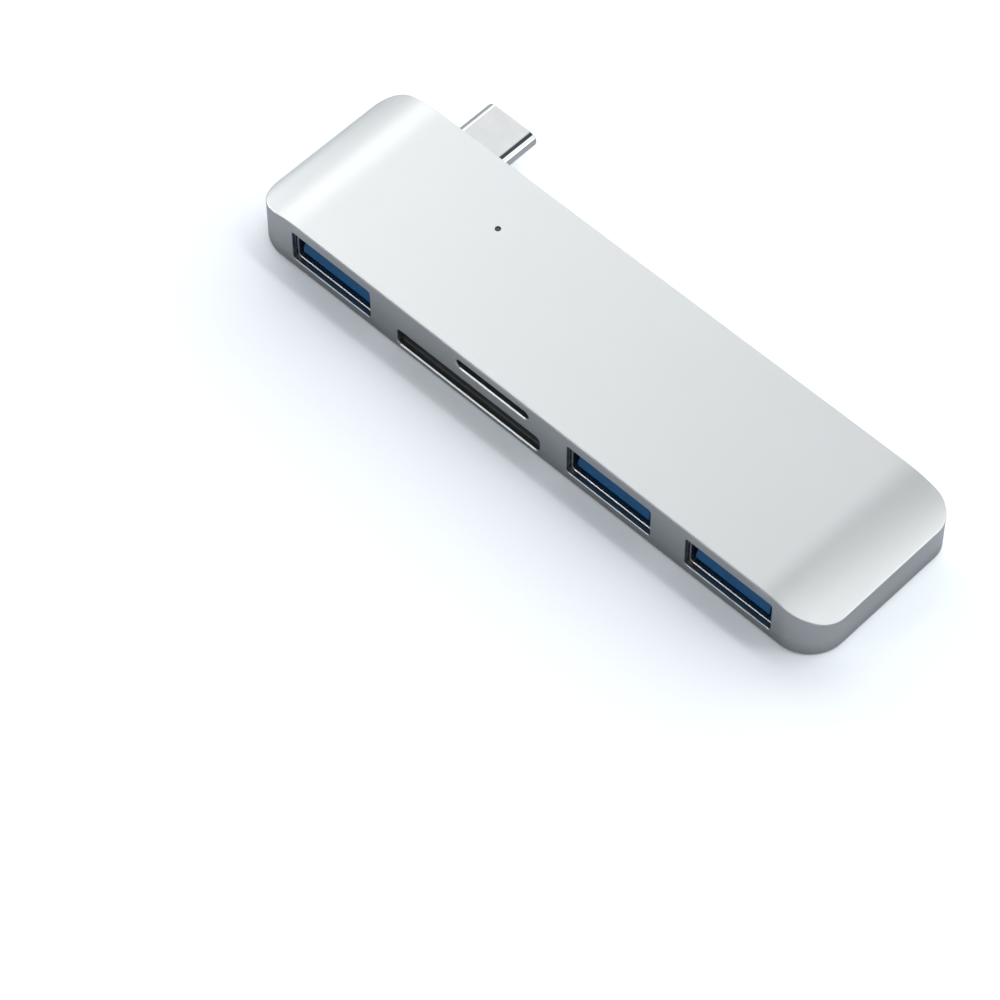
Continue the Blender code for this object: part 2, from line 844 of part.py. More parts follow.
def make_micro_base(seat):
    body = ((MICRO_LEFT, 0.0, TOP_SIDE), (MICRO_RIGHT, MICRO_DEPTH, MICRO_WALL_TOP))
    base = place(
        "microsd_socket_base",
        add_mesh("microsd_socket_base", fill_boxes, (body,)),
        "black_plastic",
        parent=seat,
    )
    back = MICRO_DEPTH - MICRO_WALL
    above = MICRO_WALL_TOP + 1.0
    card_channel = ((-MICRO_CARD_HALF, -1.0, MICRO_FLOOR), (MICRO_CARD_HALF, back, above))
    slider_channel = (
        (MICRO_CARD_HALF - 0.5, SLIDER_FRONT - FIT_GAP, MICRO_FLOOR),
        (MICRO_RIGHT - MICRO_WALL, back, above),
    )
    for pocket in (card_channel, slider_channel):
        combine(base, "DIFFERENCE", fill_boxes, (pocket,), parent=seat)


def make_micro_cover(seat):
    outer = (MICRO_LEFT - FIT_GAP - MICRO_STEEL, MICRO_RIGHT + FIT_GAP + MICRO_STEEL)
    inner = (MICRO_LEFT - FIT_GAP, MICRO_RIGHT + FIT_GAP)
    low = TOP_SIDE + 0.3
    under = MICRO_WALL_TOP + 0.08
    top = under + MICRO_STEEL
    channel = (
        (outer[0], low),
        (inner[0], low),
        (inner[0], under),
        (inner[1], under),
        (inner[1], low),
        (outer[1], low),
        (outer[1], top),
        (outer[0], top),
    )
    mesh = add_mesh("microsd_socket_cover", fill_front_profile, channel, 0.05, MICRO_DEPTH)
    place("microsd_socket_cover", mesh, "plated_steel", parent=seat)


def make_micro_slider(seat):
    """The sliding catch: a body beside the card, an arm across the card's path, a groove for the spring."""
    length = SLIDER_BACK - SLIDER_FRONT
    low, high = MICRO_FLOOR + 0.08, MICRO_WALL_TOP - 0.06
    arm_x = SLIDER_LEFT - SLIDER_ARM_REACH
    body = ((SLIDER_LEFT, 0.0, low), (SLIDER_RIGHT, length, high))
    arm = (
        (arm_x, length - SLIDER_ARM_LENGTH, low + 0.02),
        (SLIDER_LEFT + 0.3, length - 0.02, high - 0.15),
    )
    slider_at = (0.0, SLIDER_FRONT, 0.0)
    slider = place(
        "microsd_eject_slider",
        add_mesh("microsd_eject_slider", fill_boxes, (body,)),
        "black_plastic",
        slider_at,
        seat,
    )
    combine(slider, "UNION", fill_boxes, (arm,), at=slider_at, parent=seat)
    middle = spring_middle()
    groove = (
        (middle[0] - SPRING_RADIUS - 0.15, length - SLIDER_GROOVE, low + 0.1),
        (middle[0] + SPRING_RADIUS + 0.15, length + 1.0, high + 1.0),
    )
    combine(slider, "DIFFERENCE", fill_boxes, (groove,), at=slider_at, parent=seat)


def spring_middle():
    low = MICRO_FLOOR + 0.08 + 0.1
    return (SLIDER_LEFT + SLIDER_RIGHT) / 2, low + 0.05 + SPRING_RADIUS


def fill_spring(shape, length):
    """A coil of round wire along Y, as rings of the wire's section set square to the helix."""
    steps = SPRING_TURNS * 9
    coil = SPRING_RADIUS - SPRING_WIRE
    slope = (length - 2 * SPRING_WIRE) / (SPRING_TURNS * 2 * math.pi * coil)
    rings = []
    for step in range(steps + 1):
        angle = step / steps * SPRING_TURNS * 2 * math.pi
        outward = (math.cos(angle), 0.0, math.sin(angle))
        along = (-math.sin(angle) * slope, -1.0, math.cos(angle) * slope)
        centre = (
            coil * outward[0],
            SPRING_WIRE + (length - 2 * SPRING_WIRE) * step / steps,
            coil * outward[2],
        )
        ring = []
        for corner in range(4):
            turn = corner * math.pi / 2
            ring.append(
                tuple(
                    centre[axis]
                    + SPRING_WIRE * math.cos(turn) * outward[axis]
                    + SPRING_WIRE * math.sin(turn) * along[axis] / math.hypot(1.0, slope)
                    for axis in range(3)
                )
            )
        rings.append(ring)
    bridge_rings(shape, rings, False)


def make_micro_spring(seat):
    start = SLIDER_BACK - SLIDER_GROOVE + 0.05
    end = MICRO_DEPTH - MICRO_WALL - 0.05
    middle = spring_middle()
    mesh = add_mesh("microsd_eject_spring", fill_spring, end - start)
    place("microsd_eject_spring", mesh, "spring_steel", (middle[0], start, middle[1]), seat)


def make_micro_socket():
    seat = place_empty("microsd_socket", (MICRO_X, SHELL_FRONT, 0.0))
    make_micro_base(seat)
    make_micro_cover(seat)
    make_micro_slider(seat)
    make_micro_spring(seat)


# ---- USB-C plug: local y = 0 is the tip, and the plug runs towards -Y ----


def fill_plug_shell(shape):
    length = PLUG_TIP - PLUG_BACK
    sections = [(-length, 0.0)]
    for step in range(4):
        angle = step / 3 * math.pi / 2
        sections.append(
            (
                -PLUG_TIP_RADIUS * (1 - math.sin(angle)),
                PLUG_TIP_RADIUS * (1 - math.cos(angle)) * 0.6,
            )
        )
    sections += [(-0.1, PLUG_STEEL + 0.02), (-length, PLUG_STEEL)]
    fill_loft(
        shape, PLUG_WIDTH, PLUG_HEIGHT, PLUG_HEIGHT / 2, 8, sections, closed=True
    )


def make_plug():
    seat = place_empty("usb_c_plug", (PLUG_X, PLUG_TIP, PLUG_Z))
    place("usb_c_shell", add_mesh("usb_c_shell", fill_plug_shell), "nickel_plate", parent=seat)

    shrink = PLUG_STEEL + FIT_GAP
    length = PLUG_TIP - PLUG_BACK
    insulator = place(
        "usb_c_insulator",
        add_mesh(
            "usb_c_insulator",
            fill_loft,
            PLUG_WIDTH,
            PLUG_HEIGHT,
            PLUG_HEIGHT / 2,
            6,
            ((-length + 0.1, shrink), (-0.45, shrink)),
        ),
        "black_plastic",
        parent=seat,
    )
    half_x, half_z = PLUG_CAVITY[0] / 2, PLUG_CAVITY[1] / 2
    cavity = ((-half_x, -0.45 - PLUG_CAVITY_DEPTH, -half_z), (half_x, 1.0, half_z))
    combine(insulator, "DIFFERENCE", fill_boxes, (cavity,), parent=seat)


def make_collar():
    """The bezel that closes the rear wall round the plug. Its flange bears on the wall's inside."""
    sections = (
        (-WALL - FIT_GAP, 0.0),
        (COLLAR_PROUD - 0.1, 0.0),
        (COLLAR_PROUD, 0.1),
    )
    collar = place(
        "plug_collar",
        add_mesh(
            "plug_collar",
            fill_loft,
            COLLAR_WIDTH,
            COLLAR_HEIGHT,
            COLLAR_HEIGHT / 2,
            8,
            sections,
        ),
        "black_plastic",
        (PLUG_X, REAR, PLUG_Z),
    )
    at = (PLUG_X, REAR, PLUG_Z)
    flange = (
        (-WALL - FIT_GAP - COLLAR_FLANGE, 0.0),
        (-WALL - FIT_GAP, 0.0),
    )
    combine(
        collar,
        "UNION",
        fill_loft,
        COLLAR_WIDTH + 1.2,
        COLLAR_HEIGHT + 0.8,
        COLLAR_HEIGHT / 2,
        8,
        flange,
        at=at,
    )
    combine(
        collar,
        "DIFFERENCE",
        fill_loft,
        PLUG_WIDTH + 2 * FIT_GAP,
        PLUG_HEIGHT + 2 * FIT_GAP,
        PLUG_HEIGHT / 2 + FIT_GAP,
        8,
        ((-3.0, 0.0), (2.0, 0.0)),
        at=at,
    )


def make_bracket():
    """The steel saddle that ties the plug to the board."""
    inner = PLUG_WIDTH / 2 + FIT_GAP
    outer = inner + BRACKET_STEEL
    foot = outer + 1.3
    roof = PLUG_HEIGHT / 2 + FIT_GAP
    low = TOP_SIDE - PLUG_Z
    profile = (
        (-foot, low),
        (-inner, low),
        (-inner, roof),
        (inner, roof),
        (inner, low),
        (foot, low),
        (foot, low + BRACKET_STEEL),
        (outer, low + BRACKET_STEEL),
        (outer, roof + BRACKET_STEEL),
        (-outer, roof + BRACKET_STEEL),
        (-outer, low + BRACKET_STEEL),
        (-foot, low + BRACKET_STEEL),
    )
    mesh = add_mesh("usb_c_bracket", fill_front_profile, profile, 0.0, 2.2)
    place("usb_c_bracket", mesh, "plated_steel", (PLUG_X, PLUG_BACK + 0.2, PLUG_Z))


def main():
    clear_scene()
    for name, (colour, metallic, roughness) in MATERIALS.items():
        make_material(name, colour, metallic, roughness)
    make_housing()
    make_cover()
    make_film()
    make_board()
    make_board_parts()
    make_thermal_pad()
    make_screws()
    make_light_pipe()
    make_ports()
    make_sd_socket()
    make_micro_socket()
    make_plug()
    make_collar()
    make_bracket()


main()
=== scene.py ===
"""Looks for the USB hub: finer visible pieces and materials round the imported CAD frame."""

import math

import bmesh
import bpy
from mathutils import Matrix, Vector


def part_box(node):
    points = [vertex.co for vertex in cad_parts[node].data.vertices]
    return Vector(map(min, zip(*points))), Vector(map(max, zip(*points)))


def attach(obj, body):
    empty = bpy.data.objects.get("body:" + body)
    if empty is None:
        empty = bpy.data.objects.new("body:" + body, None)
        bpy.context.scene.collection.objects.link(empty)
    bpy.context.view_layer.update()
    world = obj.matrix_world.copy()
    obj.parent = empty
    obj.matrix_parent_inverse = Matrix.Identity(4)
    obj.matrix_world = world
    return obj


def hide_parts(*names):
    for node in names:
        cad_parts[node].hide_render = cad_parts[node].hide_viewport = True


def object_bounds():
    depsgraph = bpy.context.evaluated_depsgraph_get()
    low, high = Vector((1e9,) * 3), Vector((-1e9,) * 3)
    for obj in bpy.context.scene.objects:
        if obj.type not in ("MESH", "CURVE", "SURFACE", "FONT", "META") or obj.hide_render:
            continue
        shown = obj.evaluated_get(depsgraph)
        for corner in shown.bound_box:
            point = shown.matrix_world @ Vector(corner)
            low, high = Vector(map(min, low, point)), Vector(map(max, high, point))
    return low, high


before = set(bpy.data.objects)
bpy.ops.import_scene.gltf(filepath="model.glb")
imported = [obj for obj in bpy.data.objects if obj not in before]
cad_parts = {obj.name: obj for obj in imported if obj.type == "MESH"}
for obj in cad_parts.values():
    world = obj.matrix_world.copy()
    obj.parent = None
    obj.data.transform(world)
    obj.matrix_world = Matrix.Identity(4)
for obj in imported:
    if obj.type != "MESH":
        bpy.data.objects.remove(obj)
CAD_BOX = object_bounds()

MM = 0.001
HUB = "hub"

# ---- the frame's own sizes, in millimetres ----


def node_box(name):
    low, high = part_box(name)
    return low / MM, high / MM


def middle(name):
    low, high = node_box(name)
    return (low + high) / 2


HOUSING_LOW, HOUSING_HIGH = node_box("top_housing")
LENGTH = HOUSING_HIGH.x - HOUSING_LOW.x
WIDTH = HOUSING_HIGH.y - HOUSING_LOW.y
HEIGHT = HOUSING_HIGH.z
FRONT = HOUSING_LOW.y
REAR = HOUSING_HIGH.y
BOARD_TOP = node_box("main_board")[1].z
# The microSD card's middle, from the left end of its socket.
MICRO_CARD_OFFSET = 6.4
MICRO_CARD_X = node_box("microsd_socket_base")[0].x + MICRO_CARD_OFFSET
PORTS = (1, 2, 3)


# ---- meshes ----

SAME_POINT = 0.001
LEAST_RADIUS = 0.01
SHARP_ANGLE = 35.0
BEVEL_ANGLE = 30.0


def rounded_outline(width, height, radius, segments):
    """Points round a rectangle with rounded corners, centred on the origin."""
    points = []
    for corner in range(4):
        start = corner * math.pi / 2
        centre_x = (width / 2 - radius) * (1 if corner in (0, 3) else -1)
        centre_y = (height / 2 - radius) * (1 if corner in (0, 1) else -1)
        for step in range(segments + 1):
            angle = start + step / segments * math.pi / 2
            point = (
                centre_x + radius * math.cos(angle),
                centre_y + radius * math.sin(angle),
            )
            if not points or math.dist(point, points[-1]) > SAME_POINT:
                points.append(point)
    if math.dist(points[0], points[-1]) < SAME_POINT:
        points.pop()
    return points


def quarter_round(length, depth, steps):
    """A rounded edge in steps: how far each is short of the end, and how far in from the side."""
    for step in range(steps + 1):
        angle = step / steps * math.pi / 2
        yield length * (1 - math.sin(angle)), depth * (1 - math.cos(angle))


def row(centre, count, pitch):
    return [centre + (index - (count - 1) / 2) * pitch for index in range(count)]


def slab(x, half_width, y, z):
    """Corners of a box centred on x, between two values of y and two of z."""
    return (x - half_width, y[0], z[0]), (x + half_width, y[1], z[1])


def bridge_rings(shape, rings, closed=False, capped=True):
    """Faces from each ring of points to the next. Closed joins the last ring to the first."""
    made = [[shape.verts.new(point) for point in ring] for ring in rings]
    pairs = list(zip(made, made[1:]))
    if closed:
        pairs.append((made[-1], made[0]))
    for ring, after in pairs:
        for step, corner in enumerate(ring):
            following = (step + 1) % len(ring)
            shape.faces.new((corner, ring[following], after[following], after[step]))
    if not closed and capped:
        shape.faces.new(made[0])
        shape.faces.new(list(reversed(made[-1])))
    return made


def fill_loft(shape, centre, size, sections, segments, closed=False):
    """Rounded rectangles in XZ along Y. size is (width, height, radius), each section (y, shrink)."""
    width, height, radius = size
    rings = []
    for y, shrink in sections:
        outline = rounded_outline(
            width - 2 * shrink, height - 2 * shrink, max(radius - shrink, LEAST_RADIUS), segments
        )
        rings.append([(centre[0] + x, centre[1] + y, centre[2] + z) for x, z in outline])
    bridge_rings(shape, rings, closed)


def fill_boxes(shape, boxes):
    for low, high in boxes:
        for corner in bmesh.ops.create_cube(shape, size=1.0)["verts"]:
            corner.co = [high[axis] if corner.co[axis] > 0 else low[axis] for axis in range(3)]


def fill_profiles(shape, profile, centres, half_width):
    """An outline in YZ, extruded along X to both sides of each centre."""
    for centre in centres:
        ends = (centre - half_width, centre + half_width)
        bridge_rings(shape, [[(x, y, z) for y, z in profile] for x in ends])


def fill_turned(shape, centre, profile, segments):
    """A solid of revolution round Z with flat ends. Each point of the profile is (radius, z)."""
    turns = [turn * 2 * math.pi / segments for turn in range(segments)]
    rings = [
        [
            (centre[0] + radius * math.cos(turn), centre[1] + radius * math.sin(turn), centre[2] + z)
            for turn in turns
        ]
        for radius, z in profile
    ]
    bridge_rings(shape, rings)


def smooth(mesh, sharp):
    mesh.shade_smooth()
    mesh.set_sharp_from_angle(angle=math.radians(sharp))


def make_object(name, build, *sizes):
    """An object whose mesh is filled in by build, in millimetres."""
    shape = bmesh.new()
    build(shape, *sizes)
    bmesh.ops.recalc_face_normals(shape, faces=shape.faces)
    bmesh.ops.scale(shape, vec=(MM, MM, MM), verts=shape.verts)
    mesh = bpy.data.meshes.new(name)
    shape.to_mesh(mesh)
    shape.free()
    smooth(mesh, SHARP_ANGLE)
    made = bpy.data.objects.new(name, mesh)
    bpy.context.scene.collection.objects.link(made)
    return made


def settle(obj):
    """Apply every modifier."""
    graph = bpy.context.evaluated_depsgraph_get()
    mesh = bpy.data.meshes.new_from_object(
        obj.evaluated_get(graph), preserve_all_data_layers=True, depsgraph=graph
    )
    obj.modifiers.clear()
    obj.data = mesh


def combine(obj, operation, builds):
    """Cut shapes out of obj, or join them on. Each build is (function, sizes...)."""
    tools = []
    for build, *sizes in builds:
        tool = make_object("tool", build, *sizes)
        tools.append(tool)
        step = obj.modifiers.new("step", "BOOLEAN")
        step.operation = operation
        step.solver = "EXACT"
        step.object = tool
    settle(obj)
    for tool in tools:
        bpy.data.objects.remove(tool)


def soften(obj, width):
    """Round every edge a little, in two steps."""
    bevel = obj.modifiers.new("bevel", "BEVEL")
    bevel.width = width * MM
    bevel.segments = 2
    bevel.limit_method = "ANGLE"
    bevel.angle_limit = math.radians(BEVEL_ANGLE)
    settle(obj)


def weigh_normals(obj, sharp=SHARP_ANGLE):
    """Let the large faces set the shading, so that flat walls stay flat beside small edges."""
    smooth(obj.data, sharp)
    weighted = obj.modifiers.new("weighted", "WEIGHTED_NORMAL")
    weighted.mode = "FACE_AREA"
    weighted.weight = 90
    weighted.keep_sharp = True
    settle(obj)


def finish_piece(obj, material, slot, *replaced):
    obj.data.materials.clear()
    obj.data.materials.append(material)
    if replaced:
        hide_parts(*replaced)
    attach(obj, HUB)


# ---- materials ----


class Nodes:
    """Short calls for a material's nodes. Textures follow the object's own coordinates."""

    def __init__(self, name):
        self.material = bpy.data.materials.new(name)
        self.material.use_nodes = True
        self.tree = self.material.node_tree
        self.shader = self.tree.nodes["Principled BSDF"]
        self.spot = self.add("ShaderNodeTexCoord").outputs["Object"]

    def feed(self, node, inputs):
        """Give each input a number, a colour or another node's output."""
        for key, value in inputs.items():
            if isinstance(value, bpy.types.NodeSocket):
                self.tree.links.new(value, node.inputs[key])
            else:
                node.inputs[key].default_value = value

    def add(self, kind, inputs=None, **settings):
        made = self.tree.nodes.new(kind)
        for key, value in settings.items():
            setattr(made, key, value)
        self.feed(made, inputs or {})
        return made

    def finish(self, inputs):
        self.feed(self.shader, inputs)
        return self.material

    def stretched(self, scale):
        return self.add("ShaderNodeMapping", {"Vector": self.spot, "Scale": scale}).outputs["Vector"]

    def noise(self, scale, detail=2.0, roughness=0.5, vector=None):
        values = {"Scale": scale, "Detail": detail, "Roughness": roughness}
        values["Vector"] = vector or self.spot
        return self.add("ShaderNodeTexNoise", values).outputs["Fac"]

    def between(self, value, low, high, start=0.3, end=0.7):
        """Map start to end onto low to high, and hold those values outside."""
        values = {"Value": value, "From Min": start, "From Max": end, "To Min": low, "To Max": high}
        return self.add("ShaderNodeMapRange", values).outputs["Result"]

    def calculate(self, operation, *values):
        made = self.add("ShaderNodeMath", dict(enumerate(values)), operation=operation)
        return made.outputs["Value"]

    def mix(self, factor, first, second):
        values = {"Factor": factor, "A": first, "B": second}
        return self.add("ShaderNodeMix", values, data_type="RGBA").outputs["Result"]

    def ramp(self, value, *stops):
        made = self.add("ShaderNodeValToRGB", {"Fac": value})
        elements = made.color_ramp.elements
        for element, (position, colour) in zip(elements, stops):
            element.position = position
            element.color = (*colour, 1.0)
        return made.outputs["Color"]

    def bump(self, height, strength, distance, after=None):
        values = {"Height": height, "Strength": strength, "Distance": distance * MM}
        if after:
            values["Normal"] = after
        return self.add("ShaderNodeBump", values).outputs["Normal"]


def surface(
    name, dark, light, roughness, metallic=0.0, blotch=350.0, grain=4000.0, depth=0.01, more=None
):
    """Colour and roughness that wander slightly over the surface, and a fine grain in relief."""
    made = Nodes(name)
    wander = made.noise(blotch, 4.0, 0.55)
    fine = made.noise(grain, 3.0, 0.6)
    looks = {
        "Base Color": made.ramp(wander, (0.35, dark), (0.65, light)),
        "Roughness": made.between(wander, *roughness),
        "Normal": made.bump(fine, 0.5, depth),
        "Metallic": metallic,
    }
    return made.finish(looks | (more or {}))


def blasted_aluminium(name, tone, painted_shade=None):
    """Bead-blasted and anodised: a dense fine grain, with slight unevenness in colour and gloss.
    Painted shade, if given, darkens the colour.
    """
    made = Nodes(name)
    wander = made.noise(60.0, 3.0, 0.5)
    grain = made.noise(7000.0, 2.0, 0.7)
    coarse = made.noise(2600.0, 2.0, 0.6)
    low = tuple(value * 0.985 for value in tone)
    colour = made.ramp(wander, (0.3, low), (0.7, tone))
    looks = {
        "Base Color": painted_shade(made, colour) if painted_shade else colour,
        "Roughness": made.between(grain, *ALUMINIUM_ROUGHNESS),
        "Normal": made.bump(grain, 0.35, 0.006, made.bump(coarse, 0.2, 0.008)),
        "Metallic": 1.0,
    }
    return made.finish(looks)


def paint_housing_shade(made, colour):
    """Painted shade: darker towards the bottom edge, and where the openings are cut through the wall.
    """
    along = made.add("ShaderNodeSeparateXYZ", {"Vector": made.spot}).outputs
    inside = 1.0
    # Painted shade in the openings: inside is one within the zone the openings are cut through.
    for axis, centre, reach in CUT_ZONE:
        within = made.calculate("COMPARE", along[axis], centre * MM, reach * MM)
        inside = made.calculate("MULTIPLY", inside, within)
    start, end = (height * MM for height in LOW_EDGE)
    # Painted shade: darker towards the bottom edge.
    edge = made.between(along["Z"], LOW_EDGE_PAINTED_SHADE, 1.0, start, end)
    cut = made.between(inside, 1.0, CUT_PAINTED_SHADE, 0.0, 1.0)
    level = made.calculate("MULTIPLY", edge, cut)
    values = {"Vector": colour, "Scale": level}
    return made.add("ShaderNodeVectorMath", values, operation="SCALE").outputs["Vector"]


def drawn_steel(name, tone, roughness):
    """Rolled sheet: fine lines along Y."""
    made = Nodes(name)
    lines = made.noise(1.0, 3.0, 0.6, made.stretched((9000.0, 350.0, 9000.0)))
    wander = made.noise(500.0, 3.0)
    low = tuple(value * 0.9 for value in tone)
    looks = {
        "Base Color": made.ramp(wander, (0.3, low), (0.7, tone)),
        "Roughness": made.between(lines, *roughness),
        "Normal": made.bump(lines, 0.1, 0.002),
        "Metallic": 1.0,
    }
    return made.finish(looks)


def ribbed_plastic_painted_crests(name, dark, light):
    """Moulded against a ribbed tool: fine lines along Y in relief, with a painted highlight on their
    crests.
    """
    made = Nodes(name)
    lines = made.noise(1.0, 2.0, 0.6, made.stretched((5200.0, 160.0, 600.0)))
    looks = {
        # The crests take the light colour: a painted highlight.
        "Base Color": made.ramp(lines, (0.42, dark), (0.58, light)),
        "Roughness": made.between(made.noise(1500.0), 0.42, 0.55),
        "Normal": made.bump(lines, 0.3, 0.01),
    }
    return made.finish(looks)


def circuit_board(name):
    """Solder mask over copper: lighter tracks in two directions, in relief."""
    made = Nodes(name)
    sizes = {"Scale": 900.0, "Mortar Size": 0.012, "Brick Width": 1.6, "Row Height": 0.42}
    bricks = made.add("ShaderNodeTexBrick", {"Vector": made.spot, **sizes}, offset=0.35)
    tracks = bricks.outputs["Fac"]
    wander = made.noise(180.0, 3.0)
    mask = made.ramp(wander, (0.35, (0.006, 0.07, 0.035)), (0.65, (0.010, 0.10, 0.055)))
    looks = {
        "Base Color": made.mix(tracks, mask, (0.02, 0.16, 0.08, 1.0)),
        "Roughness": made.between(made.noise(2500.0), 0.3, 0.42),
        "Normal": made.bump(tracks, 0.4, 0.02),
    }
    return made.finish(looks)


ALUMINIUM_ROUGHNESS = (0.28, 0.36)
# Centre and reach of the zone, within the front wall, that the openings are cut through; painted shade
# darkens the housing there.
CUT_ZONE = (("X", 0.0, 41.0), ("Y", -12.0, 0.58), ("Z", 4.2, 3.4))
# How far painted shade darkens the housing inside the openings.
CUT_PAINTED_SHADE = 0.65
# Painted shade: the housing darkens from the second height down to the first.
LOW_EDGE = (0.4, 2.6)
LOW_EDGE_PAINTED_SHADE = 0.76

# The housing's colour carries painted shade at its bottom edge and in its openings.
ALUMINIUM = blasted_aluminium("aluminium_blasted", (0.782, 0.810, 0.818), paint_housing_shade)
COVER_ALUMINIUM = blasted_aluminium("aluminium_cover", (0.74, 0.75, 0.76))
NICKEL = surface(
    "nickel_polished",
    (0.73, 0.745, 0.75),
    (0.79, 0.805, 0.81),
    (0.05, 0.09),
    metallic=1.0,
    blotch=300.0,
    grain=3000.0,
    depth=0.0008,
)
TIN = drawn_steel("steel_tinned", (0.62, 0.63, 0.64), (0.22, 0.36))
SCREW_STEEL = surface(
    "steel_screw", (0.36, 0.36, 0.37), (0.48, 0.48, 0.49), (0.25, 0.4), metallic=1.0
)
SPRING_STEEL = surface(
    "steel_spring", (0.45, 0.45, 0.46), (0.56, 0.56, 0.57), (0.2, 0.35), metallic=1.0
)
GOLD = surface(
    "gold_plated",
    (0.72, 0.47, 0.16),
    (0.83, 0.60, 0.26),
    (0.16, 0.28),
    metallic=1.0,
    blotch=900.0,
    grain=5000.0,
    depth=0.003,
)
BLUE = surface(
    "plastic_blue",
    (0.002, 0.155, 0.41),
    (0.003, 0.185, 0.48),
    (0.36, 0.46),
    blotch=500.0,
    grain=5000.0,
    depth=0.006,
)
SOCKET_STEEL = drawn_steel("steel_socket", (0.60, 0.62, 0.64), (0.5, 0.62))
# The ribs' lighter crests are a painted highlight.
SOCKET_PLASTIC = ribbed_plastic_painted_crests("plastic_socket", (0.05, 0.055, 0.06), (0.13, 0.14, 0.15))
BLACK = surface("plastic_black", (0.010, 0.011, 0.012), (0.017, 0.018, 0.020), (0.38, 0.52))
CHIP = surface(
    "chip_epoxy",
    (0.014, 0.014, 0.015),
    (0.026, 0.026, 0.028),
    (0.45, 0.6),
    blotch=900.0,
    grain=6000.0,
)
FILM = surface(
    "film_black",
    (0.010, 0.010, 0.010),
    (0.020, 0.020, 0.020),
    (0.4, 0.55),
    blotch=120.0,
    grain=3000.0,
    depth=0.008,
)
PAD = surface(
    "silicone_pad",
    (0.36, 0.44, 0.50),
    (0.46, 0.55, 0.61),
    (0.7, 0.85),
    blotch=700.0,
    depth=0.02,
)
FERRITE = surface(
    "ferrite",
    (0.07, 0.07, 0.075),
    (0.12, 0.12, 0.125),
    (0.5, 0.7),
    blotch=900.0,
    grain=5000.0,
    depth=0.02,
)
TANTALUM = surface(
    "capacitor_body",
    (0.46, 0.27, 0.07),
    (0.60, 0.38, 0.12),
    (0.4, 0.55),
    blotch=900.0,
    grain=5000.0,
)
CAN = drawn_steel("crystal_can", (0.66, 0.65, 0.62), (0.2, 0.34))
LAMP = surface("lamp_body", (0.74, 0.75, 0.70), (0.86, 0.87, 0.83), (0.25, 0.4))
CLEAR = surface(
    "acrylic_clear",
    (0.20, 0.22, 0.23),
    (0.28, 0.30, 0.31),
    (0.1, 0.2),
    blotch=900.0,
    depth=0.002,
    more={"Transmission Weight": 0.6, "IOR": 1.49},
)
BOARD = circuit_board("circuit_board")

# Each node takes the first material whose entry begins its name.
NODE_MATERIALS = (
    ("insulation_film", FILM),
    ("main_board", BOARD),
    ("thermal_pad", PAD),
    ("board_screw", SCREW_STEEL),
    ("hub_controller", CHIP),
    ("card_reader_controller", CHIP),
    ("firmware_memory", CHIP),
    ("voltage_regulator", CHIP),
    ("power_switch", CHIP),
    ("esd_array", CHIP),
    ("hub_crystal", CAN),
    ("power_inductor", FERRITE),
    ("bulk_capacitor", TANTALUM),
    ("status_led", LAMP),
    ("light_pipe", CLEAR),
    ("usb_a_contact", GOLD),
    ("usb_a_shell", TIN),
    ("usb_a_insulator", BLUE),
    ("sd_socket_base", SOCKET_PLASTIC),
    ("sd_socket_cover", SOCKET_STEEL),
    ("microsd_socket_base", SOCKET_PLASTIC),
    ("microsd_socket_cover", SOCKET_STEEL),
    ("microsd_eject_slider", BLACK),
    ("microsd_eject_spring", SPRING_STEEL),
    ("usb_c_bracket", TIN),
    ("usb_c_insulator", BLACK),
    ("usb_c_shell", NICKEL),
    ("plug_collar", BLACK),
    ("top_housing", ALUMINIUM),
    ("bottom_cover", COVER_ALUMINIUM),
)


def paint_nodes():
    for name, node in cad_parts.items():
        material = next(made for start, made in NODE_MATERIALS if name.startswith(start))
        for held in node.material_slots:
            held.material = material


# ---- housing ----

# As the CAD source has it.
FRONT_CORNER = 5.3
REAR_CORNER = 3.4
WALL = 0.7
TOP_WALL = 0.9
TOP_EDGE_RADIUS = 0.15
BOTTOM_EDGE_RADIUS = 0.5
CROWN_START = 37.5
CROWN_DROP = 2.7
CROWN_POWER = 2.6
LIGHT_HOLE_RADIUS = 0.39

# Width, height and corner radius of each opening.
PORT_OPENING = (13.61, 5.12, 0.35)
PORT_OPENING_Z = 4.25
SD_OPENING = (24.1, 2.69, 0.7)
SD_OPENING_Z = 2.415
MICRO_OPENING = (12.1, 1.34, 0.669)
MICRO_OPENING_Z = 6.42
COLLAR_OPENING = (10.6, 4.6, 2.2)
LIGHT_HOLE_DEPTH = 2.0
# How far a cutter runs past a wall, and past the end of a longer piece.
PAST_WALL = 0.5
PAST_END = 1.0

# How finely each curve is divided, and the small edges.
CORNER_SEGMENTS = 36
CROWN_STEPS = 14
BOTTOM_EDGE_STEPS = 6
TOP_EDGE_STEPS = 4
OPENING_SEGMENTS = 10
COLLAR_OPENING_SEGMENTS = 12
LIGHT_HOLE_SEGMENTS = 32
PORT_CHAMFER = 0.06
CARD_CHAMFER = 0.16
LIGHT_HOLE_CHAMFER = 0.04
COVER_CHAMFER = 0.12
COVER_SHARP_ANGLE = 25.0


def crown_height(x):
    """Height of the top surface at x. It falls ever more steeply towards each end."""
    run = max(abs(x) - CROWN_START, 0.0) / (LENGTH / 2 - CROWN_START)
    return HEIGHT - CROWN_DROP * run**CROWN_POWER


def outline_y(x, inset, corner):
    """Distance of the plan outline from the long axis at x, where that side has this corner radius."""
    radius = corner - inset
    run = min(max(abs(x) - (LENGTH / 2 - corner), 0.0), radius)
    return WIDTH / 2 - corner + math.sqrt(radius**2 - run**2)


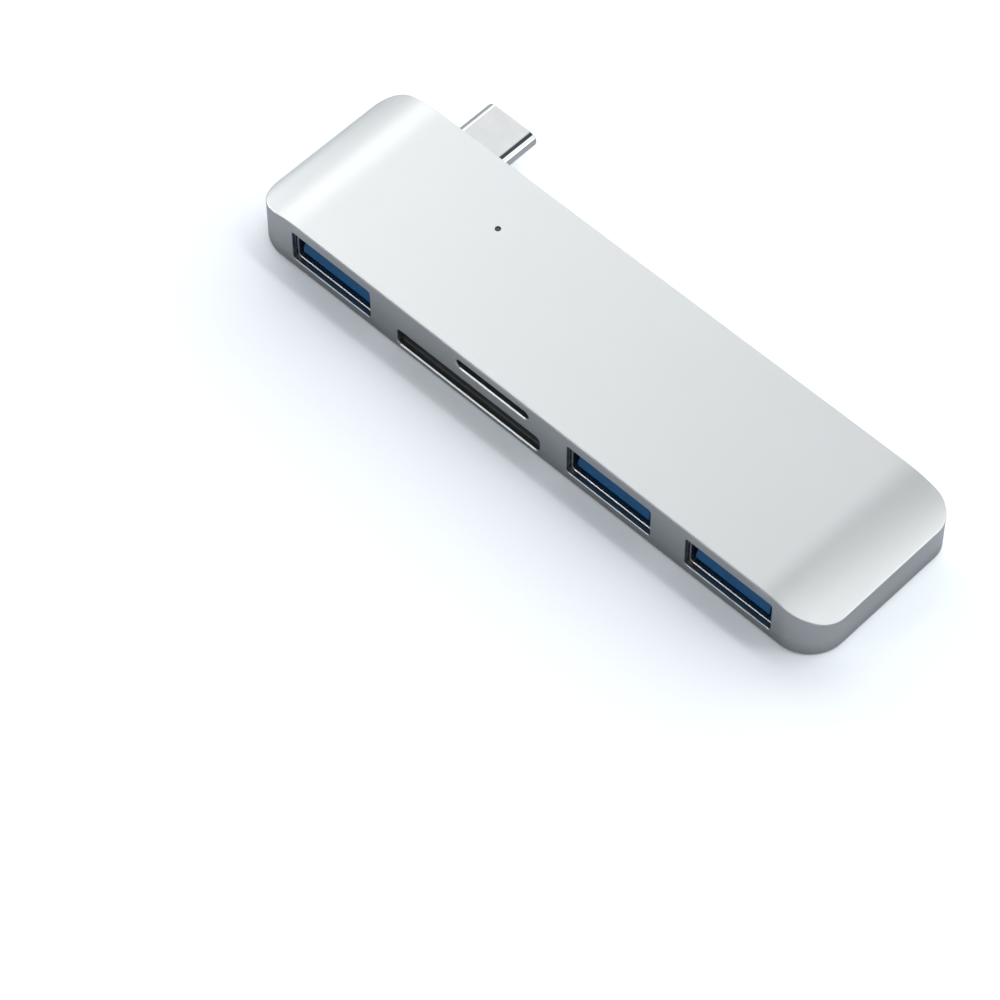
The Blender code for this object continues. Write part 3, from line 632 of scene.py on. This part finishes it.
def whole_outline(inset):
    """The plan outline: along the front from left to right, then back along the rear."""
    centre = LENGTH / 2 - FRONT_CORNER
    stations = []
    for step in range(CORNER_SEGMENTS + 1):
        angle = step / CORNER_SEGMENTS * math.pi / 2
        stations.append(-centre - (FRONT_CORNER - inset) * math.cos(angle))
    for step in range(1, CROWN_STEPS + 1):
        stations.append(-centre + (centre - CROWN_START) * step / CROWN_STEPS)
    stations += [-x for x in reversed(stations)]
    front = [(x, -outline_y(x, inset, FRONT_CORNER)) for x in stations]
    return front + [(x, outline_y(x, inset, REAR_CORNER)) for x in reversed(stations)]


def flat_ring(inset, z):
    return [(x, y, z) for x, y in whole_outline(inset)]


def crown_ring(inset, drop):
    """The plan outline at a depth below the crowned top surface."""
    return [(x, y, crown_height(x) - drop) for x, y in whole_outline(inset)]


def fill_housing(shape):
    """From the ceiling's edge down the inside, round the bottom edge, up and round the top edge."""
    rings = [crown_ring(WALL, TOP_WALL), flat_ring(WALL, 0.0)]
    bottom_edge = quarter_round(BOTTOM_EDGE_RADIUS, BOTTOM_EDGE_RADIUS, BOTTOM_EDGE_STEPS)
    for rise, inset in reversed(list(bottom_edge)):
        rings.append(flat_ring(inset, rise))
    for drop, inset in quarter_round(TOP_EDGE_RADIUS, TOP_EDGE_RADIUS, TOP_EDGE_STEPS):
        rings.append(crown_ring(inset, drop))
    made = bridge_rings(shape, rings, capped=False)
    # The ceiling and the top are strips of four-sided faces from the front to the rear.
    for layer in (made[0], made[-1]):
        for step in range(len(layer) // 2 - 1):
            shape.faces.new((layer[step], layer[step + 1], layer[-2 - step], layer[-1 - step]))


def chamfered_sections(chamfer):
    """From in front of the wall, down a small chamfer, and through it."""
    return ((-PAST_WALL, -chamfer), (0.0, -chamfer), (chamfer, 0.0), (WALL + PAST_WALL, 0.0))


def make_housing():
    housing = make_object("housing_shell", fill_housing)
    openings = [
        (middle(f"usb_a_shell_{port}").x, PORT_OPENING_Z, PORT_OPENING, PORT_CHAMFER)
        for port in PORTS
    ]
    openings.append((middle("sd_socket_base").x, SD_OPENING_Z, SD_OPENING, CARD_CHAMFER))
    openings.append((MICRO_CARD_X, MICRO_OPENING_Z, MICRO_OPENING, CARD_CHAMFER))
    cuts = [
        (fill_loft, (x, FRONT, z), size, chamfered_sections(chamfer), OPENING_SEGMENTS)
        for x, z, size, chamfer in openings
    ]
    collar = middle("plug_collar")
    through_rear = ((-WALL - PAST_WALL, 0.0), (PAST_WALL, 0.0))
    place = (collar.x, REAR, collar.z)
    cuts.append((fill_loft, place, COLLAR_OPENING, through_rear, COLLAR_OPENING_SEGMENTS))
    light = middle("light_pipe")
    light_hole = (
        (LIGHT_HOLE_RADIUS, -LIGHT_HOLE_DEPTH),
        (LIGHT_HOLE_RADIUS, -LIGHT_HOLE_CHAMFER),
        (LIGHT_HOLE_RADIUS + LIGHT_HOLE_CHAMFER, 0.0),
        (LIGHT_HOLE_RADIUS + LIGHT_HOLE_CHAMFER, PAST_WALL),
    )
    cuts.append((fill_turned, (light.x, light.y, HEIGHT), light_hole, LIGHT_HOLE_SEGMENTS))
    combine(housing, "DIFFERENCE", cuts)
    weigh_normals(housing)
    finish_piece(housing, ALUMINIUM, "anodised_aluminium", "top_housing")


def make_cover():
    low, high = node_box("bottom_cover")
    margin = (LENGTH - (high.x - low.x)) / 2
    rings = (
        flat_ring(margin + COVER_CHAMFER, low.z),
        flat_ring(margin, low.z + COVER_CHAMFER),
        flat_ring(margin, high.z),
    )
    cover = make_object("underside_cover", bridge_rings, rings)
    weigh_normals(cover, COVER_SHARP_ANGLE)
    finish_piece(cover, COVER_ALUMINIUM, "cover_aluminium", "bottom_cover")


# ---- USB-A ports: distances along Y are from the shell's mouth or from the tongue's tip ----

SHELL_SIZE = (13.46, 5.62)
SHELL_STEEL = 0.25
SHELL_RADIUS = 0.6
SHELL_SEGMENTS = 8
SHELL_EDGE = 0.05
SHELL_LEAD_IN = 0.08

# Both wide walls have two windows, each with a spring finger that leans into the socket.
SPRING_X = (-3.2, 3.2)
WINDOW_HALF_WIDTH = 1.3
WINDOW_Y = (2.6, 8.4)
FINGER_HALF_WIDTH = 0.9
FINGER_HALF_STEEL = 0.07
FINGER_PATH = ((8.7, 0.0), (6.5, -0.16), (4.6, -0.42), (3.9, -0.46), (3.1, -0.2))

# Tabs that lie on the board: how far they reach past the shell's side, and where they start.
TAB_REACH = (-0.1, 1.5)
TAB_Z = (0.1, 0.35)
TAB_STARTS = (6.0, 10.5)
TAB_LENGTH = 1.6

TONGUE_SIZE = (11.6, 1.56)
TONGUE_BOTTOM = 2.82
TONGUE_LENGTH = 9.3
TONGUE_CHAMFER = 0.1
TONGUE_FLAT = 0.9
TONGUE_LEAD_IN = 0.45
TONGUE_EDGE = 0.06
BLOCK_START = 8.8

# Each contact lies in a groove of the tongue and leaves by a passage through the block.
CONTACT_NAMES = ("power", "data_minus", "data_plus", "ground")
PASSAGE_HALF_WIDTH = 0.6
PASSAGE_START = 7.8
GROOVE_HALF_WIDTH = 0.58
GROOVE_Y = (3.2, 9.4)
GROOVE_DEPTH = 0.12
GROOVE_TOP = 0.35

PAD_COUNT = 5
PAD_PITCH = 2.0
PAD_HALF_WIDTH = 0.4
PAD_Y = (0.75, 2.6)
PAD_Z = (-0.05, 0.03)
CONTACT_EDGE = 0.03


def shell_sections(depth):
    """A closed loop: back along the outside, and forward along the inside to the lead-in."""
    return (
        (SHELL_EDGE, 0.0),
        (depth, 0.0),
        (depth, SHELL_STEEL),
        (SHELL_LEAD_IN, SHELL_STEEL),
        (0.0, SHELL_STEEL - SHELL_LEAD_IN),
        (0.0, SHELL_EDGE),
    )


def make_port(port):
    low, high = node_box(f"usb_a_shell_{port}")
    centre = ((low.x + high.x) / 2, low.y, (low.z + high.z) / 2)
    make_shell(port, centre, high.y - low.y)
    make_tongue(port, centre[0])


def make_shell(port, centre, depth):
    centre_x, mouth, centre_z = centre
    size = (*SHELL_SIZE, SHELL_RADIUS)
    sections = shell_sections(depth)
    shell = make_object(
        f"usb_a_shell_formed_{port}", fill_loft, centre, size, sections, SHELL_SEGMENTS, True
    )
    windows, fingers, tabs = [], [], []
    window_y = [mouth + y for y in WINDOW_Y]
    for offset in SPRING_X:
        x = centre_x + offset
        for side in (-1, 1):
            wall = centre_z + side * (SHELL_SIZE[1] / 2 - SHELL_STEEL / 2)
            windows.append(slab(x, WINDOW_HALF_WIDTH, window_y, (wall - PAST_WALL, wall + PAST_WALL)))
            finger = [
                (mouth + y, wall + side * (z + FINGER_HALF_STEEL)) for y, z in FINGER_PATH
            ] + [
                (mouth + y, wall + side * (z - FINGER_HALF_STEEL)) for y, z in reversed(FINGER_PATH)
            ]
            fingers.append((fill_profiles, finger, (x,), FINGER_HALF_WIDTH))
    for side in (-1, 1):
        near, far = sorted(side * (SHELL_SIZE[0] / 2 + reach) for reach in TAB_REACH)
        for start in TAB_STARTS:
            tabs.append(
                (
                    (centre_x + near, mouth + start, BOARD_TOP + TAB_Z[0]),
                    (centre_x + far, mouth + start + TAB_LENGTH, BOARD_TOP + TAB_Z[1]),
                )
            )
    combine(shell, "DIFFERENCE", [(fill_boxes, windows)])
    combine(shell, "UNION", [*fingers, (fill_boxes, tabs)])
    weigh_normals(shell)
    finish_piece(shell, TIN, "plated_steel", f"usb_a_shell_{port}")


def make_tongue(port, centre_x):
    low, high = node_box(f"usb_a_insulator_{port}")
    bottom = TONGUE_BOTTOM
    top = bottom + TONGUE_SIZE[1]
    tip = low.y
    back = tip + TONGUE_LENGTH
    profile = (
        (tip, bottom + TONGUE_CHAMFER),
        (tip + TONGUE_CHAMFER, bottom),
        (back, bottom),
        (back, top),
        (tip + TONGUE_LEAD_IN, top),
        (tip, bottom + TONGUE_FLAT),
    )
    tongue = make_object(
        f"usb_a_tongue_{port}", fill_profiles, profile, (centre_x,), TONGUE_SIZE[0] / 2
    )
    soften(tongue, TONGUE_EDGE)
    block = ((low.x, tip + BLOCK_START, low.z), (high.x, high.y, high.z))
    combine(tongue, "UNION", [(fill_boxes, [block])])
    passage_y = (tip + PASSAGE_START, high.y + PAST_END)
    groove_y = [tip + y for y in GROOVE_Y]
    cuts = []
    for name in CONTACT_NAMES:
        contact = node_box(f"usb_a_contact_{port}_{name}")
        x = (contact[0].x + contact[1].x) / 2
        passage = slab(x, PASSAGE_HALF_WIDTH, passage_y, (top, top + GROOVE_TOP))
        groove = slab(x, GROOVE_HALF_WIDTH, groove_y, (top - GROOVE_DEPTH, top + GROOVE_TOP))
        cuts += [(fill_boxes, [passage]), (fill_boxes, [groove])]
    combine(tongue, "DIFFERENCE", cuts)
    weigh_normals(tongue)
    finish_piece(tongue, BLUE, "blue_plastic", f"usb_a_insulator_{port}")

    pad_y = [tip + y for y in PAD_Y]
    pad_z = [top + z for z in PAD_Z]
    pads = [slab(x, PAD_HALF_WIDTH, pad_y, pad_z) for x in row(centre_x, PAD_COUNT, PAD_PITCH)]
    strips = make_object(f"usb_a_high_speed_contacts_{port}", fill_boxes, pads)
    soften(strips, CONTACT_EDGE)
    finish_piece(strips, GOLD, "gold_plate")


# ---- USB-C plug ----

# Width, height and corner radius.
PLUG_SIZE = (8.4, 2.52, 1.26)
PLUG_STEEL = 0.34
PLUG_LEAD = 0.2
# The rounding of the mouth's outer edge: along the plug, and in from its side.
PLUG_NOSE = (0.22, 0.16)
PLUG_NOSE_STEPS = 8
PLUG_MOUTH_EDGE = 0.05
PLUG_SEGMENTS = 20

INSULATOR_RADIUS = 0.88
INSULATOR_CHAMFER = 0.08
INSULATOR_SEGMENTS = 12
CAVITY_HALF_WIDTH = 3.4
CAVITY_HALF_HEIGHT = 0.43
CAVITY_DEPTH = 5.4

# Two rows of contacts, above and below the cavity, between two distances from its mouth.
PIN_COUNT = 12
PIN_PITCH = 0.5
PIN_HALF_WIDTH = 0.13
PIN_HALF_STEEL = 0.07
PIN_DEPTHS = (4.8, 0.9)
PIN_OFFSET = 0.4

COLLAR_BODY = (10.4, 4.4, 2.2)
COLLAR_HOLE = (8.6, 2.72, 1.36)
COLLAR_FLANGE = 0.5
COLLAR_OVERLAP = 0.3
COLLAR_ROUNDING = 0.15
COLLAR_ROUNDING_STEPS = 4
COLLAR_SEGMENTS = 14


def make_plug():
    low, high = node_box("usb_c_shell")
    tip, back = high.y + PLUG_LEAD, low.y
    centre = ((low.x + high.x) / 2, 0.0, (low.z + high.z) / 2)
    nose = [(tip - short, drop) for short, drop in quarter_round(*PLUG_NOSE, PLUG_NOSE_STEPS)]
    inside = [(tip - PLUG_MOUTH_EDGE, PLUG_STEEL), (back, PLUG_STEEL)]
    sections = [(back, 0.0), *nose, *inside]
    shell = make_object(
        "usb_c_plug_shell", fill_loft, centre, PLUG_SIZE, sections, PLUG_SEGMENTS, True
    )
    weigh_normals(shell)
    finish_piece(shell, NICKEL, "nickel_plate", "usb_c_shell")
    make_plug_inside(centre)
    make_collar(centre)


def make_plug_inside(centre):
    low, high = node_box("usb_c_insulator")
    size = (high.x - low.x, high.z - low.z, INSULATOR_RADIUS)
    sections = (
        (low.y, 0.0),
        (high.y - INSULATOR_CHAMFER, 0.0),
        (high.y, INSULATOR_CHAMFER),
    )
    insulator = make_object(
        "usb_c_plug_insulator", fill_loft, centre, size, sections, INSULATOR_SEGMENTS
    )
    cavity_y = (high.y - CAVITY_DEPTH, high.y + PAST_END)
    cavity_z = (centre[2] - CAVITY_HALF_HEIGHT, centre[2] + CAVITY_HALF_HEIGHT)
    cavity = slab(centre[0], CAVITY_HALF_WIDTH, cavity_y, cavity_z)
    combine(insulator, "DIFFERENCE", [(fill_boxes, [cavity])])
    weigh_normals(insulator)
    finish_piece(insulator, BLACK, "black_plastic", "usb_c_insulator")

    pins = []
    pin_y = [high.y - depth for depth in PIN_DEPTHS]
    for x in row(centre[0], PIN_COUNT, PIN_PITCH):
        for side in (-1, 1):
            z = centre[2] + side * PIN_OFFSET
            pins.append(slab(x, PIN_HALF_WIDTH, pin_y, (z - PIN_HALF_STEEL, z + PIN_HALF_STEEL)))
    contacts = make_object("usb_c_plug_contacts", fill_boxes, pins)
    soften(contacts, CONTACT_EDGE)
    finish_piece(contacts, GOLD, "gold_plate")


def make_collar(centre):
    """A flange inside the rear wall, and a body that fills the opening and stands a little proud."""
    low, high = node_box("plug_collar")
    rim = [(REAR - WALL - COLLAR_OVERLAP, 0.0)]
    for short, drop in quarter_round(COLLAR_ROUNDING, COLLAR_ROUNDING, COLLAR_ROUNDING_STEPS):
        rim.append((high.y - short, drop))
    collar = make_object(
        "plug_collar_moulded", fill_loft, centre, COLLAR_BODY, rim, COLLAR_SEGMENTS
    )
    flange_size = (high.x - low.x, high.z - low.z, COLLAR_BODY[2])
    flange = ((low.y, 0.0), (low.y + COLLAR_FLANGE, 0.0))
    hole = ((low.y - PAST_END, 0.0), (high.y + PAST_END, 0.0))
    combine(collar, "UNION", [(fill_loft, centre, flange_size, flange, COLLAR_SEGMENTS)])
    combine(collar, "DIFFERENCE", [(fill_loft, centre, COLLAR_HOLE, hole, COLLAR_SEGMENTS)])
    weigh_normals(collar)
    finish_piece(collar, BLACK, "black_plastic", "plug_collar")


# ---- card sockets ----

# Each row of spring contacts starts at its socket's back wall, whose thickness is wall.
SD_ROW = {"count": 9, "pitch": 2.5, "half_width": 0.5, "wall": 1.8, "floor": 0.0}
MICRO_ROW = {"count": 8, "pitch": 1.08, "half_width": 0.3, "wall": 0.5, "floor": 5.95}
# One contact's outline: y from the back wall, and height above the floor.
SD_CONTACT = (
    (0.2, 3.62),
    (-3.0, 3.5),
    (-4.6, 3.0),
    (-5.4, 3.35),
    (-5.4, 3.47),
    (-4.6, 3.15),
    (-3.0, 3.64),
    (0.2, 3.76),
)
MICRO_CONTACT = (
    (0.2, 0.08),
    (-2.4, 0.12),
    (-3.8, 0.42),
    (-4.6, 0.12),
    (-4.6, 0.02),
    (-3.8, 0.3),
    (-2.4, 0.02),
    (0.2, -0.02),
)


def make_contacts(name, centre_x, back, outline, count, pitch, half_width, wall, floor):
    start = back - wall
    profile = [(start + y, floor + z) for y, z in outline]
    contacts = make_object(name, fill_profiles, profile, row(centre_x, count, pitch), half_width)
    finish_piece(contacts, GOLD, "gold_plate")


def make_card_contacts():
    low, high = node_box("sd_socket_base")
    make_contacts("sd_contacts", (low.x + high.x) / 2, high.y, SD_CONTACT, **SD_ROW)
    back = node_box("microsd_socket_base")[1].y
    make_contacts("microsd_contacts", MICRO_CARD_X, back, MICRO_CONTACT, **MICRO_ROW)


# ---- stage, in metres ----

CAMERA_PLACE = (0.200411, -0.221215, 0.407349)
CAMERA_TURN = 0.7746
CAMERA_PITCH = 0.967
CAMERA_ROLL = -0.0077
CAMERA_LENS = 148.67
CAMERA_SENSOR = 36.0
CAMERA_NEAR = 0.01

# The floor and the world look brighter to the camera, as SEEN says, than they are to the hub.
FLOOR_TONE = (0.63, 0.66, 0.70)
FLOOR_SEEN = (1.66, 1.74, 1.82)
WORLD_STRENGTH = 0.08
WORLD_SEEN = 1.2
WORLD_TONE = (0.94, 1.0, 1.07)
# Half the floor's width, in millimetres like every mesh here.
FLOOR_REACH = 1300.0
FLOOR_DIVISIONS = 8
FLOOR_GAP = 0.00005

# Rings of soft boxes: elevation, first azimuth, step, height of a box, and each one's brightness.
SOFT_BOX_DISTANCE = 2.0
SOFT_BOX_FILL = 0.98
SOFT_BOX_RINGS = (
    (26, 244, 0, 0.35, (4.0,)),
    (14, 210, 20, 0.45, (0.5, 0.55, 0.6, 0.6, 0.6, 0.6, 0.55, 0.5)),
    (72, 247.5, 45, 0.59, (0.38, 1.77, 1.37)),
    (56, 30, 20, 0.55, (2.4, 0, 0, 0, 0.64, 0.91, 1.62)),
    (40, 30, 20, 0.55, (1.33, 0, 0.6, 0.71, 0.72, 1.12, 1.67, 0.44)),
    (24, 10, 20, 0.55, (1.6, 1.06, 1.08, 1.88, 1.92, 1.32, 0.93, 0.77, 2.73, 1.07)),
    (8, 10, 20, 0.52, (0.2, 2.0, 1.76, 1.79, 1.91, 1.66, 1.35, 0.36, 4.48)),
)
# A long narrow lamp over the hub, a little behind it, casts the shadow's crisp front edge.
STRIP_PLACE = (0.45, 0.61, 1.8)
STRIP_SIZE = (1.2, 0.14)
STRIP_BRIGHTNESS = 5.66


def make_camera():
    data = bpy.data.cameras.new("camera")
    data.lens = CAMERA_LENS
    data.sensor_width = CAMERA_SENSOR
    data.clip_start = CAMERA_NEAR
    camera = bpy.data.objects.new("camera", data)
    bpy.context.scene.collection.objects.link(camera)
    camera.matrix_world = (
        Matrix.Translation(CAMERA_PLACE)
        @ Matrix.Rotation(CAMERA_TURN, 4, "Z")
        @ Matrix.Rotation(math.pi / 2 - CAMERA_PITCH, 4, "X")
        @ Matrix.Rotation(CAMERA_ROLL, 4, "Z")
    )
    bpy.context.scene.camera = camera


def fill_floor(shape):
    bmesh.ops.create_grid(
        shape, x_segments=FLOOR_DIVISIONS, y_segments=FLOOR_DIVISIONS, size=FLOOR_REACH
    )


def make_floor():
    floor = make_object("floor", fill_floor)
    floor.location.z = CAD_BOX[0].z - FLOOR_GAP
    made = Nodes("floor_paper")
    made.tree.nodes.remove(made.shader)
    is_seen = made.add("ShaderNodeLightPath").outputs["Is Camera Ray"]
    looks = {
        "Color": made.mix(is_seen, (*FLOOR_TONE, 1.0), (*FLOOR_SEEN, 1.0)),
        "Normal": made.bump(made.noise(1500.0), 0.05, 0.02),
    }
    paper = made.add("ShaderNodeBsdfDiffuse", looks)
    made.feed(made.tree.nodes["Material Output"], {"Surface": paper.outputs["BSDF"]})
    floor.data.materials.append(made.material)


def make_lamp(name, place, turn, size, brightness):
    data = bpy.data.lights.new(name, "AREA")
    data.shape = "RECTANGLE"
    data.size, data.size_y = size
    data.energy = math.pi * size[0] * size[1] * brightness
    lamp = bpy.data.objects.new(name, data)
    bpy.context.scene.collection.objects.link(lamp)
    lamp.location = place
    lamp.rotation_euler = turn
    lamp.visible_camera = False


def make_lights():
    tilt = -math.atan2(STRIP_PLACE[1], STRIP_PLACE[2])
    make_lamp("strip_lamp", STRIP_PLACE, (tilt, 0, 0), STRIP_SIZE, STRIP_BRIGHTNESS)
    for elevation, start, step, height, levels in SOFT_BOX_RINGS:
        rise = math.radians(elevation)
        reach = 2 * SOFT_BOX_DISTANCE * math.cos(rise)
        width = reach * math.tan(math.radians(step) / 2) * SOFT_BOX_FILL if step else height
        for index, brightness in enumerate(levels):
            if not brightness:
                continue
            azimuth = math.radians(start + index * step)
            away = Vector(
                (
                    math.cos(azimuth) * math.cos(rise),
                    math.sin(azimuth) * math.cos(rise),
                    math.sin(rise),
                )
            )
            make_lamp(
                f"soft_box_{elevation}_{index}",
                away * SOFT_BOX_DISTANCE,
                away.to_track_quat("Z", "Y").to_euler(),
                (width, height),
                brightness,
            )


def make_world():
    world = bpy.data.worlds.new("studio")
    world.use_nodes = True
    nodes, links = world.node_tree.nodes, world.node_tree.links
    strength = nodes.new("ShaderNodeMix")
    strength.inputs["A"].default_value = WORLD_STRENGTH
    strength.inputs["B"].default_value = WORLD_SEEN
    path = nodes.new("ShaderNodeLightPath")
    links.new(path.outputs["Is Camera Ray"], strength.inputs["Factor"])
    links.new(strength.outputs["Result"], nodes["Background"].inputs["Strength"])
    nodes["Background"].inputs["Color"].default_value = (*WORLD_TONE, 1.0)
    bpy.context.scene.world = world
    bpy.context.scene.view_settings.view_transform = "Standard"


def main():
    paint_nodes()
    make_housing()
    make_cover()
    for port in PORTS:
        make_port(port)
    make_plug()
    make_card_contacts()
    make_floor()
    make_lights()
    make_world()
    make_camera()


main()
